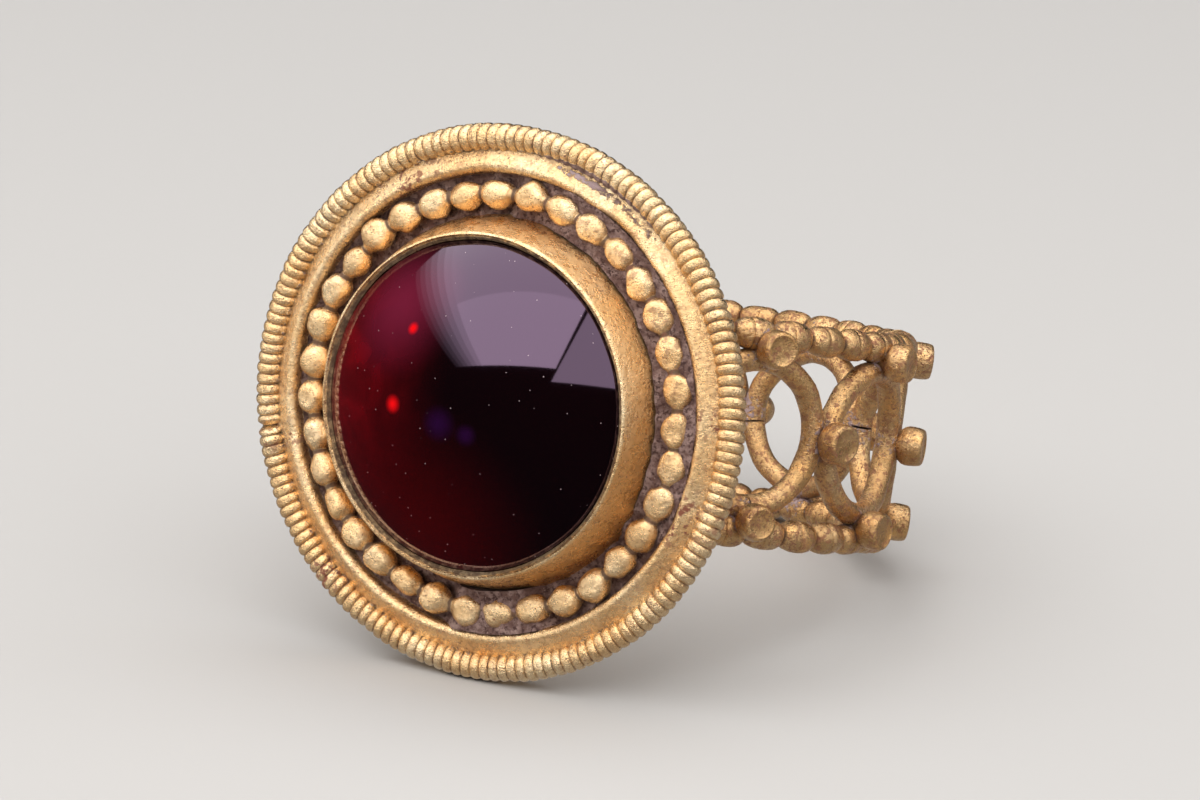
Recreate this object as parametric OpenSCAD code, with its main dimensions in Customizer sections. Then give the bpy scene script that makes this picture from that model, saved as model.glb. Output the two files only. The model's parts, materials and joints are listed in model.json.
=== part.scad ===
// Cabochon finger ring: a round domed stone in a smooth collar, ringed by a bead wire, a plain wire and
// a ridged border wire, on an openwork hoop of wire circles between two beaded edge wires.
// The ring lies on its side: it rests on the border's lowest ridge and on the back of the hoop's lower edge.

/* [Finger hole] */
// Clear diameter of the finger hole, measured between the plain wires of the circles
finger_d = 19.2; // [16:0.2:22]
// Width of the openwork band, over both beaded edge wires
band_w = 8.6; // [7:0.1:10]
// How far the hoop leans off square to the bezel, in degrees
hoop_lean = 5; // [0:0.5:8]
// How far the hoop's middle lies below the bezel's middle
hoop_drop = 0.75; // [0:0.05:1.2]

/* [Stone] */
// Diameter of the stone at the collar's rim
stone_d = 12.1; // [9:0.1:13]
// Height of the dome above the collar's rim
dome_h = 2.7; // [1.2:0.1:4]
// Clearance between the stone and the metal that holds it
stone_gap = 0.05; // [0.02:0.01:0.1]

/* [Collar] */
// Height of the collar above the base plate
collar_h = 2.1; // [1.4:0.05:3]
// Thickness of the collar's wall
collar_wall = 0.3; // [0.25:0.05:0.5]
// How far the collar's foot spreads outside its rim
collar_spread = 0.65; // [0.3:0.05:1.2]

/* [Channel and border] */
// Thickness of the base plate
plate_t = 0.6; // [0.4:0.05:1.2]
// Width of the channel between the collar's foot and the plain wire
channel_w = 1.4; // [1.1:0.05:2]
// Number of beads in the channel
channel_beads = 35; // [24:1:44]
// Diameter of a bead in the channel
channel_bead_d = 1.08; // [0.8:0.02:1.3]
// Diameter of the plain wire that walls the channel
plain_wire_d = 0.6; // [0.4:0.05:0.9]
// Width of the flat land between the plain wire and the border wire
land_w = 0.24; // [0.1:0.02:0.6]
// Diameter of the ridged border wire, over its ridges
border_wire_d = 1.05; // [0.8:0.05:1.4]
// Height of the border wire's middle above the plate's face
border_lift = 0.3; // [0.2:0.05:0.5]
// Number of ridges on the border wire
border_ridges = 157; // [100:1:180]
// Depth of the grooves between the ridges
ridge_depth = 0.11; // [0.05:0.01:0.18]

/* [Openwork] */
// Diameter of the plain round wire that the circles are bent from
circle_wire_d = 0.85; // [0.6:0.05:1.1]
// Diameter of a bead on the two edge wires
edge_bead_d = 1.24; // [0.9:0.02:1.5]
// Length of an edge bead along its wire
edge_bead_pitch = 1.62; // [1.3:0.02:2.2]
// Diameter of a pellet where wires meet
pellet_d = 1.55; // [1.2:0.05:1.9]
// Height of a pellet's worn face above the middle of the wires
pellet_h = 1.45; // [1.1:0.05:1.8]

/* [Hidden] */

// Facets
wheel_sides = 60;
ridge_sides = 6;
bead_sides = 10;
wire_sides = 6;
circle_steps = 16;
// Circles and pellets are turned by this share of a facet, so that their corners miss the corners of the wires
corner_shift = 0.25;

// Joints: how deep soldered wires run into each other, and the gap left between separate pieces
solder_bite = 0.12;
piece_gap = 0.05;
sliver = 0.01;

// Bezel, outwards from the stone, with the base plate's front face at height 0
rim_r = stone_d / 2 + stone_gap + collar_wall;
foot_r = rim_r + collar_spread;
bead_ring_r = foot_r + channel_w / 2;
plain_wire_r = foot_r + channel_w + plain_wire_d / 2;
border_r = plain_wire_r + plain_wire_d / 2 + land_w + border_wire_d / 2;
plain_wire_z = border_lift + (border_wire_d - plain_wire_d) / 4;
land_z = plain_wire_z - plain_wire_d / 2 + solder_bite / 2;
rim_round = collar_wall / 2;
girdle_z = collar_h - rim_round;
dome_r = (pow(stone_d / 2, 2) + pow(dome_h, 2)) / (2 * dome_h);
dome_centre_z = girdle_z + dome_h - dome_r;
channel_bead_z = channel_bead_d / 2 - solder_bite / 2;

// Shape of a bead: its neck as a share of its diameter, and its belly as a share of its pitch
neck_share = 0.5;
edge_neck_share = 0.66;
belly_share = 0.4;
ALONG = 0;
SWELL = 1;
function bead_rows(neck) = [[0, neck], [0.5 - belly_share / 2, 1], [0.5 + belly_share / 2, 1]];

// Shape of a pellet: its worn face, the slope below the face, and its straight belly
pellet_face_d = 0.7 * pellet_d;
pellet_shoulder = pellet_d / 3;
pellet_belly = pellet_d / 4;

// Hoop, with its middle on the finger's axis
hoop_r = finger_d / 2 + circle_wire_d / 2;
edge_y = band_w / 2 - edge_bead_d / 2;
circle_y = edge_y - edge_bead_d / 2 - circle_wire_d / 2 + solder_bite;
circles_round = 2 * round(PI * hoop_r / (2 * circle_y + circle_wire_d));
circle_turn = 360 / circles_round;
circle_arc = PI * hoop_r / circles_round - circle_wire_d / 2 + solder_bite / 2;
edge_beads = round(2 * PI * hoop_r / edge_bead_pitch);
pellet_y = (circle_y + edge_y) / 2;
// The hoop's top is flattened where it meets the back of the plate, and the necks of its nearer edge wire
// keep this thickness under the plate, so that they still join their beads
neck_left = 2 * solder_bite;
hoop_z = -plate_t - piece_gap + edge_neck_share * edge_bead_d / 2 - neck_left
       - hoop_r * cos(hoop_lean) - edge_y * sin(hoop_lean);
// Circles stay clear of the plate: the first one starts this many circles from the top
circles_hidden = ceil(acos(min(1, (-hoop_z - plate_t - circle_wire_d) / hoop_r)) / circle_turn);

// Rest pose: the border touches the floor at this angle round the bezel, with the crest of a ridge
border_rest_angle = 270;
// The two round edges that touch the floor, as [y, z] in the bezel's own frame
front_rest = [-border_r, border_lift];
back_rest = [-hoop_drop - hoop_r * sin(hoop_lean) - edge_y * cos(hoop_lean),
             hoop_z - hoop_r * cos(hoop_lean) + edge_y * sin(hoop_lean)];
rest_span = norm(back_rest - front_rest);
rest_tilt = atan2(back_rest[0] - front_rest[0], front_rest[1] - back_rest[1])
          - asin((edge_bead_d - border_wire_d) / 2 / rest_span);
rest_z = border_wire_d / 2 - front_rest[0] * cos(rest_tilt) - front_rest[1] * sin(rest_tilt);
// The origin is below the middle, from the dome's front to the face of the pellet that reaches furthest back
back_lean = hoop_lean + rest_tilt;
function pellet_reach(angle, y) = let (facing = cos(angle) * cos(back_lean))
    (pellet_h + hoop_r) * facing + y * sin(back_lean) + pellet_face_d / 2 * sqrt(1 - facing * facing);
front_reach = dome_r + dome_centre_z * cos(rest_tilt);
back_reach = max(pellet_reach(0, 0), pellet_reach(circle_turn / 2, pellet_y))
           - hoop_z * cos(rest_tilt) - hoop_drop * sin(rest_tilt);
rest_y = (front_reach - back_reach) / 2;

// Lays what is drawn in the bezel's frame (stone along +Z) on its side, stone towards -Y
module at_rest() {
    translate([0, rest_y, rest_z]) rotate([90 - rest_tilt, 0, 0]) children();
}

// Closed tube through rings of points; a station is [centre, outward, across, radius]
module tube_loop(stations, sides) {
    n = len(stations);
    turn = 360 / sides;
    points = [for (s = stations) for (k = [0 : sides - 1])
        s[0] + s[3] * (cos(k * turn) * s[1] + sin(k * turn) * s[2])];
    faces = [for (i = [0 : n - 1]) for (k = [0 : sides - 1])
        let (a = i * sides, b = (i + 1) % n * sides, j = (k + 1) % sides)
        each [[a + k, a + j, b + j], [a + k, b + j, b + k]]];
    polyhedron(points, faces);
}

// Where a tube lies on a ring round Z at an angle
function ring_station(angle, ring_r, z, r) =
    [[ring_r * cos(angle), ring_r * sin(angle), z], [cos(angle), sin(angle), 0], [0, 0, 1], r];

// A point of the hoop's own frame: angle from the back round to the top, place across the band, radius
function hoop_point(angle, y, r) = [r * sin(angle), y, -r * cos(angle)];
function hoop_out(angle) = hoop_point(angle, 0, 1);
function hoop_along(angle) = [cos(angle), 0, sin(angle)];

// The garnet: tapered sides that follow the collar, and a dome above the rim
module stone() {
    side_r = rim_r - collar_wall - stone_gap;
    foot_side_r = side_r + collar_spread * (1 - stone_gap / collar_h);
    color("darkred") at_rest() {
        translate([0, 0, stone_gap])
            cylinder(r1 = foot_side_r, r2 = side_r, h = girdle_z - stone_gap, $fn = wheel_sides);
        intersection() {
            translate([0, 0, dome_centre_z]) sphere(r = dome_r, $fn = wheel_sides);
            translate([0, 0, girdle_z - sliver]) cylinder(d = stone_d, h = 2 * dome_h, $fn = wheel_sides);
        }
    }
}

// Base plate with its raised land under the wires
module base_plate() {
    rotate_extrude($fn = wheel_sides) polygon([
        [0, -plate_t],
        [border_r, -plate_t],
        [border_r, land_z],
        [plain_wire_r, land_z],
        [plain_wire_r, 0],
        [0, 0],
    ]);
}

// Smooth collar, leaning in from its foot to a rounded rim
module collar() {
    rotate_extrude($fn = wheel_sides) polygon([
        [foot_r - collar_wall, -sliver],
        [foot_r, -sliver],
        [rim_r, collar_h - rim_round],
        [rim_r - rim_round / 2, collar_h],
        [rim_r - collar_wall, collar_h],
        [rim_r - collar_wall, collar_h - rim_round],
    ]);
}

// Beaded wire of the channel
module bead_wire() {
    turn = 360 / channel_beads;
    tube_loop([for (i = [0 : channel_beads - 1]) for (row = bead_rows(neck_share))
        ring_station((i + row[ALONG]) * turn, bead_ring_r, channel_bead_z, channel_bead_d / 2 * row[SWELL])],
        bead_sides);
}

module plain_wire() {
    rotate_extrude($fn = wheel_sides) translate([plain_wire_r, plain_wire_z])
        circle(d = plain_wire_d, $fn = wheel_sides);
}

// Border wire with its ridges: a crest, then a groove
module border_wire() {
    steps = 2 * border_ridges;
    tube_loop([for (i = [0 : steps - 1])
        let (angle = border_rest_angle + i * 360 / steps)
        ring_station(angle, border_r, border_lift, border_wire_d / 2 - (i % 2) * ridge_depth)],
        ridge_sides);
}

// Everything that is soldered round the stone
module setting() {
    color("goldenrod") at_rest() {
        base_plate();
        collar();
        bead_wire();
        plain_wire();
        border_wire();
    }
}

// Beaded wire along one edge of the band
module edge_wire(side) {
    turn = 360 / edge_beads;
    tube_loop([for (i = [0 : edge_beads - 1]) for (row = bead_rows(edge_neck_share))
        let (angle = (i + row[ALONG]) * turn)
        [hoop_point(angle, side * edge_y, hoop_r), hoop_out(angle), [0, -1, 0], edge_bead_d / 2 * row[SWELL]]],
        bead_sides);
}

// Circle of plain wire bent to the hoop, with its middle at an angle from the back
module wire_circle(middle) {
    arc_turn = circle_arc / hoop_r * 180 / PI;
    tube_loop([for (i = [0 : circle_steps - 1])
        let (
            t = (i + corner_shift) * 360 / circle_steps,
            angle = middle + arc_turn * cos(t),
            way = -circle_arc * sin(t) * hoop_along(angle) + [0, circle_y * cos(t), 0],
            out = hoop_out(angle)
        )
        [hoop_point(angle, circle_y * sin(t), hoop_r), out, cross(out, way) / norm(way), circle_wire_d / 2]],
        wire_sides);
}

// Pellet with a worn flat face, over a joint of the wires
module pellet(angle, y) {
    belly_z = pellet_h - pellet_shoulder - pellet_belly;
    turn = corner_shift * 360 / bead_sides;
    translate([0, y, 0]) rotate([0, 180 - angle, 0]) translate([0, 0, hoop_r]) rotate(turn) hull() {
        cylinder(d = pellet_face_d, h = pellet_h, $fn = bead_sides);
        translate([0, 0, belly_z]) cylinder(d = pellet_d, h = pellet_belly, $fn = bead_sides);
    }
}

// Everything that is soldered round the finger, cut flat where the base plate sits on it
module hoop() {
    last = circles_round / 2 - circles_hidden;
    color("goldenrod") at_rest() difference() {
        translate([0, -hoop_drop, hoop_z]) rotate([-hoop_lean, 0, 0]) {
            for (side = [-1, 1]) edge_wire(side);
            for (k = [0 : last - 1]) for (side = [-1, 1]) {
                middle = side * (k + 0.5) * circle_turn;
                wire_circle(middle);
                for (row = [-1, 1]) pellet(middle, row * pellet_y);
            }
            for (k = [1 - last : last - 1]) pellet(k * circle_turn, 0);
        }
        translate([0, 0, border_r - plate_t - piece_gap]) cube(2 * border_r, center = true);
    }
}

stone();
setting();
hoop();
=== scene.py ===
# %% [markdown]
# # A gold ring with a garnet cabochon
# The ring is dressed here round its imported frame. Each piece is made the way a goldsmith makes it: wires are
# beaded and laid out straight on the bench, then bent round, soldered on and worn by use. The bench works in
# millimetres, stone side up; a finished piece is then laid on its side in metres, where the frame has it.

# %% Load the frame
import json
import math
import random
from contextlib import contextmanager

import bpy
from mathutils import Matrix, Vector, noise

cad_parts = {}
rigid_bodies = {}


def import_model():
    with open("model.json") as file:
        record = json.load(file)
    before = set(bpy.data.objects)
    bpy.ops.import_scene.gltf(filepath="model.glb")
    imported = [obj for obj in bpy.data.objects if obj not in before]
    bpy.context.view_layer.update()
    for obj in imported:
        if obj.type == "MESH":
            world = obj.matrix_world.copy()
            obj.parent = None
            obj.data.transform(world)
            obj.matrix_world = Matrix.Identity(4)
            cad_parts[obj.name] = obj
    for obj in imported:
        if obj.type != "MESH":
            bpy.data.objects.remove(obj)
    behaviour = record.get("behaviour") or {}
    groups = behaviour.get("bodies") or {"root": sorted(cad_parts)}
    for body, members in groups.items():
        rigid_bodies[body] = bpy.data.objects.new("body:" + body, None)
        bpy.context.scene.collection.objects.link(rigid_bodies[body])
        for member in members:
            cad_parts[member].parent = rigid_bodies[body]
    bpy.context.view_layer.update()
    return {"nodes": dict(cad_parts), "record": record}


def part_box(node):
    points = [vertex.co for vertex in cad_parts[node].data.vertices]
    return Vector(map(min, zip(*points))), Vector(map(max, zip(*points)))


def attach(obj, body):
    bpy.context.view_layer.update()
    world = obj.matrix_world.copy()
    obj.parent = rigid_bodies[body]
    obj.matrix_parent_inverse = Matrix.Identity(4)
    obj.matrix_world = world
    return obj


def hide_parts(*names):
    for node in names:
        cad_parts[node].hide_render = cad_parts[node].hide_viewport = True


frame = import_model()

print("frame nodes:", sorted(frame["nodes"]))

# %% [markdown]
# ## Sizes
# These are the sizes of the solids, in millimetres, so that every dressed piece lies where its solid lies.
# Height 0 is the front face of the base plate, and the stone rises above it.

# %% Sizes on the bench
STONE_D = 12.1
DOME_H = 2.7
STONE_GAP = 0.05
COLLAR_H = 2.1
COLLAR_WALL = 0.3
COLLAR_SPREAD = 0.65
PLATE_T = 0.6
CHANNEL_W = 1.4
CHANNEL_BEADS = 35
CHANNEL_BEAD_D = 1.08
PLAIN_WIRE_D = 0.6
LAND_W = 0.24
BORDER_WIRE_D = 1.05
BORDER_LIFT = 0.3
BORDER_RIDGES = 157
RIDGE_DEPTH = 0.11
FINGER_D = 19.2
BAND_W = 8.6
HOOP_LEAN = 5.0
CIRCLE_WIRE_D = 0.85
CIRCLES_ROUND = 10
EDGE_BEAD_D = 1.24
EDGE_BEADS = 39
PELLET_D = 1.55
PELLET_H = 1.45
SOLDER_BITE = 0.12

RIM_R = STONE_D / 2 + STONE_GAP + COLLAR_WALL
FOOT_R = RIM_R + COLLAR_SPREAD
BEAD_RING_R = FOOT_R + CHANNEL_W / 2
STRIP_R = FOOT_R + CHANNEL_W + PLAIN_WIRE_D / 2
BORDER_R = STRIP_R + PLAIN_WIRE_D / 2 + LAND_W + BORDER_WIRE_D / 2
HOOP_R = (FINGER_D + CIRCLE_WIRE_D) / 2
EDGE_Y = (BAND_W - EDGE_BEAD_D) / 2
CIRCLE_R = EDGE_Y - EDGE_BEAD_D / 2 - CIRCLE_WIRE_D / 2 + SOLDER_BITE
CIRCLE_STEP = 2 * math.pi / CIRCLES_ROUND
PELLET_Y = (CIRCLE_R + EDGE_Y) / 2
print(f"bezel {2 * BORDER_R + BORDER_WIRE_D:.1f} mm across, hoop {FINGER_D} mm inside")

# %% [markdown]
# ## From the bench to the surface it lies on
# The record gives the finger's axis, which leans as the ring rests on its border and its hoop. The stone's and
# the setting's boxes give the bezel's place. One matrix then lays every finished piece down and turns
# millimetres into metres, and its inverse turns a place on the ring back into a place on the bench.

# %% Lay the bench's frame down
MM = 0.001
finger_hole = frame["record"]["mounts"][0]
rest_tilt = math.atan2(finger_hole["axis"][1], finger_hole["axis"][2]) - math.radians(HOOP_LEAN)
dome_r = ((STONE_D / 2) ** 2 + DOME_H ** 2) / (2 * DOME_H)
girdle_z = COLLAR_H - COLLAR_WALL / 2
dome_z = girdle_z + DOME_H - dome_r
stone_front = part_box("stone")[0][1] / MM
setting_low, setting_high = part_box("setting")
bezel_y = stone_front + dome_r + dome_z * math.cos(rest_tilt)
bezel_z = (setting_low[2] + setting_high[2]) / 2 / MM - BORDER_LIFT * math.sin(rest_tilt)
lay_turn = math.radians(90) - rest_tilt
LAID = (Matrix.Scale(MM, 4) @ Matrix.Translation((0, bezel_y, bezel_z)) @ Matrix.Rotation(lay_turn, 4, "X"))
hoop_centre = LAID.inverted() @ Vector(finger_hole["pos_m"])
BENT_UP = (Matrix.Translation(hoop_centre) @ Matrix.Rotation(-math.radians(HOOP_LEAN), 4, "X")
           @ Matrix.Rotation(math.radians(90), 4, "X"))
print(f"rest tilt {math.degrees(rest_tilt):.2f} degrees, bezel middle at {bezel_y:.2f}, {bezel_z:.2f} mm")
print("hoop's middle from the bezel:", [round(v, 2) for v in hoop_centre])

# %% [markdown]
# ## Working by hand
# Blender's operators act on what is selected, so each job first takes up its own piece and nothing else.

# %% Take up a piece, and open it for editing
def take_up(*pieces):
    bpy.ops.object.select_all(action="DESELECT")
    for piece in pieces:
        piece.select_set(True)
    bpy.context.view_layer.objects.active = pieces[0]


@contextmanager
def opened(piece):
    take_up(piece)
    bpy.ops.object.mode_set(mode="EDIT")
    bpy.ops.mesh.select_all(action="SELECT")
    yield
    bpy.ops.object.mode_set(mode="OBJECT")


def settle(piece, matrix):
    """Moves a piece by a matrix and leaves its object at the origin, unturned and unscaled."""
    piece.matrix_world = matrix
    take_up(piece)
    bpy.ops.object.transform_apply(location=True, rotation=True, scale=True)


SEAM = 0.002
FINE_SEAM = 0.0005


def close_seams(piece, reach=SEAM):
    """Merges points that lie within reach of each other, in millimetres, and turns all faces outwards."""
    with opened(piece):
        bpy.ops.mesh.remove_doubles(threshold=reach)
        bpy.ops.mesh.normals_make_consistent(inside=False)


def joined(name, pieces):
    take_up(*pieces)
    bpy.ops.object.join()
    whole = bpy.context.view_layer.objects.active
    whole.name = name
    return whole


def twin(piece):
    take_up(piece)
    bpy.ops.object.duplicate()
    return bpy.context.view_layer.objects.active


def say(piece):
    faces = sum(len(p.vertices) - 2 for p in piece.data.polygons)
    print(f"{piece.name}: {len(piece.data.vertices)} points, {faces} triangles")


# %% [markdown]
# ## Turning on the lathe
# Collars, beads and pellets are round about one line. A single point is extruded along the outline and spun
# about that line, which is quicker and rounder than pushing a cylinder into shape.

# %% Turn an outline
ROUND_Z = (0, 0, 1)
ROUND_X = (1, 0, 0)


def turned(name, outline, steps, line=ROUND_Z):
    """Spins (radius, height) points about Z, or (radius, place along) points about X."""
    bpy.ops.mesh.primitive_plane_add(size=1)
    piece = bpy.context.object
    piece.name = name
    spots = [Vector((r, 0, h)) if line == ROUND_Z else Vector((h, 0, r)) for r, h in outline]
    with opened(piece):
        bpy.ops.mesh.merge(type="CENTER")
        bpy.ops.transform.translate(value=spots[0])
        for before, after in zip(spots, spots[1:]):
            bpy.ops.mesh.extrude_vertices_move(TRANSFORM_OT_translate={"value": after - before})
        bpy.ops.mesh.select_all(action="SELECT")
        bpy.ops.mesh.spin(steps=steps, angle=2 * math.pi, center=(0, 0, 0), axis=line)
    close_seams(piece, FINE_SEAM)
    return piece


# %% [markdown]
# ## Bending a wire round
# A patterned wire is easiest to make straight: one link is turned, an Array lays out the row, and a Simple
# Deform bends the row into a ring, as a goldsmith bends wire round a mandrel. The row lies along X. In between,
# each link can be given a size of its own, as long as the links still meet at the same necks.

# %% Lay out a row and bend it
def laid_out(piece, count, pitch):
    """Repeats one link along X and centres the row."""
    row = piece.modifiers.new("row", "ARRAY")
    row.count = count
    row.use_relative_offset = False
    row.use_constant_offset = True
    row.constant_offset_displace = (pitch, 0, 0)
    row.use_merge_vertices = True
    row.merge_threshold = SEAM
    take_up(piece)
    bpy.ops.object.modifier_apply(modifier=row.name)
    with opened(piece):
        bpy.ops.transform.translate(value=(-(count - 1) * pitch / 2, 0, 0))


def link_at(x, count, pitch):
    """Which link of a centred row lies at a place along it, and where that link's middle is."""
    half = count * pitch / 2
    which = min(count - 1, max(0, int((x + half) / pitch)))
    return which, (which + 0.5) * pitch - half


def resized(v, size, share):
    """Draws a point of a row towards the row's own line or away from it."""
    v.co.y *= 1 + (size - 1) * share
    v.co.z *= 1 + (size - 1) * share


def rubbed_flat(v, top, left):
    """Wears a point down towards a height, of which this share of what stands above it is left."""
    if v.co.z > top:
        v.co.z = top + (v.co.z - top) * left


def bent_round(piece, radius):
    along = [v.co.x for v in piece.data.vertices]
    bend = piece.modifiers.new("bend", "SIMPLE_DEFORM")
    bend.deform_method = "BEND"
    bend.deform_axis = "Z"
    bend.angle = (max(along) - min(along)) / radius
    take_up(piece)
    bpy.ops.object.modifier_apply(modifier=bend.name)
    with opened(piece):
        bpy.ops.transform.translate(value=(0, -radius, 0))
    close_seams(piece)


# %% [markdown]
# ## Wear
# Nothing on an old ring is quite true. Low, slow dents move the metal a few hundredths of a millimetre along its
# own normals, and they catch the light far more softly than a bump in the finish would.

# %% Dent a piece
def clock(x, y):
    """Degrees round the bezel, clockwise from its top as seen from the stone's side."""
    return math.degrees(math.atan2(x, y)) % 360


def near_angle(angle, middle, width):
    """1 at the middle angle, falling smoothly to 0 at half the width away."""
    away = abs((angle - middle + 180) % 360 - 180) / (width / 2)
    return 0.0 if away >= 1 else (1 - away * away) ** 2


def dented(piece, depth, size, seed=0):
    shift = Vector((seed * 7.3, seed * 3.1, seed * 5.7))
    normals = [v.normal.copy() for v in piece.data.vertices]
    for v, out in zip(piece.data.vertices, normals):
        v.co += out * depth * noise.noise(v.co / size + shift)


def smoothed(piece, angle=40):
    take_up(piece)
    bpy.ops.object.shade_smooth_by_angle(angle=math.radians(angle))


# %% [markdown]
# ## Finishes: shared pieces of a material
# A finish is a small tree of nodes. Every pattern is read in millimetres in the bench's own frame, through one
# Mapping node that undoes the laying down, so that a pattern can follow the bezel although the ring is tilted.

# %% Helpers for the finishes
class Finish:
    """A material under construction, with short calls for the nodes that every finish needs."""

    def __init__(self, name):
        self.material = bpy.data.materials.new(name)
        self.material.use_nodes = True
        self.tree = self.material.node_tree
        self.shader = self.tree.nodes["Principled BSDF"]
        place = self.node("ShaderNodeTexCoord").outputs["Object"]
        mapping = self.node("ShaderNodeMapping")
        mapping.vector_type = "TEXTURE"
        mapping.inputs["Location"].default_value = (0, bezel_y * MM, bezel_z * MM)
        mapping.inputs["Rotation"].default_value = (lay_turn, 0, 0)
        mapping.inputs["Scale"].default_value = (MM, MM, MM)
        self.link(place, mapping.inputs["Vector"])
        self.bench = mapping.outputs["Vector"]

    def node(self, kind):
        return self.tree.nodes.new(kind)

    def link(self, source, target):
        self.tree.links.new(source, target)

    def feed(self, value, socket):
        if isinstance(value, bpy.types.NodeSocket):
            self.link(value, socket)
        else:
            socket.default_value = value

    def stretched(self, scale):
        mapping = self.node("ShaderNodeMapping")
        mapping.inputs["Scale"].default_value = scale
        self.link(self.bench, mapping.inputs["Vector"])
        return mapping.outputs["Vector"]

    def cloud(self, size, detail=3.0, rough=0.55, warp=0.0, place=None):
        """Noise whose blots are about this many millimetres across."""
        cloud = self.node("ShaderNodeTexNoise")
        cloud.inputs["Scale"].default_value = 1 / size
        cloud.inputs["Detail"].default_value = detail
        cloud.inputs["Roughness"].default_value = rough
        cloud.inputs["Distortion"].default_value = warp
        self.link(place or self.bench, cloud.inputs["Vector"])
        return cloud.outputs["Fac"]

    def ramp(self, value, low, high, start=0.0, end=1.0):
        """Takes a value from its low to its high to start and end, held beyond both."""
        spread = self.node("ShaderNodeMapRange")
        spread.interpolation_type = "SMOOTHSTEP"
        self.link(value, spread.inputs["Value"])
        spread.inputs["From Min"].default_value = low
        spread.inputs["From Max"].default_value = high
        spread.inputs["To Min"].default_value = start
        spread.inputs["To Max"].default_value = end
        return spread.outputs["Result"]

    def sums(self, how, first, second):
        sums = self.node("ShaderNodeMath")
        sums.operation = how
        self.feed(first, sums.inputs[0])
        self.feed(second, sums.inputs[1])
        return sums.outputs[0]

    def blend(self, share, first, second):
        mix = self.node("ShaderNodeMix")
        mix.data_type = "RGBA"
        self.feed(share, mix.inputs[0])
        for value, socket in ((first, mix.inputs[6]), (second, mix.inputs[7])):
            self.feed(value if isinstance(value, bpy.types.NodeSocket) else (*value, 1), socket)
        return mix.outputs[2]

    def painted(self, name):
        """Reads a value that was painted on the piece's points."""
        paint = self.node("ShaderNodeAttribute")
        paint.attribute_name = name
        return paint.outputs["Fac"]

    def recess(self, reach):
        """1 in corners and grooves narrower than this many millimetres, 0 in the open."""
        shade = self.node("ShaderNodeAmbientOcclusion")
        shade.samples = 8
        shade.inputs["Distance"].default_value = reach * MM
        return self.sums("SUBTRACT", 1.0, shade.outputs["AO"])

    def bump(self, height, depth):
        bump = self.node("ShaderNodeBump")
        bump.inputs["Strength"].default_value = 1.0
        bump.inputs["Distance"].default_value = depth * MM
        self.link(height, bump.inputs["Height"])
        self.link(bump.outputs["Normal"], self.shader.inputs["Normal"])


def paint(piece, name, amount):
    """Stores a value from 0 to 1 on each point, given by a function of its place on the bench."""
    layer = piece.data.attributes.new(name, "FLOAT", "POINT")
    layer.data.foreach_set("value", [amount(v.co) for v in piece.data.vertices])


def dress(piece, material, node):
    """Lays a finished bench piece on its side, gives it its finish and ties it to the frame."""
    settle(piece, LAID)
    piece.data.materials.clear()
    piece.data.materials.append(material)
    smoothed(piece)
    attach(piece, "root")
    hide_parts(node)
    say(piece)


# %% [markdown]
# ## Finish: worn gold
# High-carat gold stays bright, but centuries of handling leave it matt, with fine scratches, paler where it was
# rubbed and redder where it was not. Brown-red patina sits in specks. Every recess, which the Ambient Occlusion
# node finds by itself, and every groove painted on the points is darkened nearly to black as painted shade. Soil
# and stains that belong to one spot are painted on the points instead, and so is a painted bounce light that
# warms the collar's lower side.

# %% Mix the gold
GOLD = (0.87, 0.585, 0.30)
PALE_GOLD = (0.95, 0.73, 0.45)
# Red gold, used both for random redder patches and for the painted bounce light on the collar's lower side
RED_GOLD_AND_BOUNCE_LIGHT = (0.92, 0.52, 0.19)
DULL_GOLD = (0.52, 0.29, 0.12)
PATINA = (0.20, 0.06, 0.03)
# Near-black painted shade for recesses and grooves
GROOVE_SHADE = (0.075, 0.034, 0.018)
SOIL = (0.14, 0.075, 0.062)
PALE_SOIL = (0.32, 0.215, 0.19)
MAUVE_SOIL = (0.46, 0.34, 0.35)
# The hoop's gold is darker partly as painted shade: its base is darkened for the shade the hoop lies in, besides
# its browner wear
SHADED_HOOP_GOLD = (0.58, 0.355, 0.16)


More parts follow.
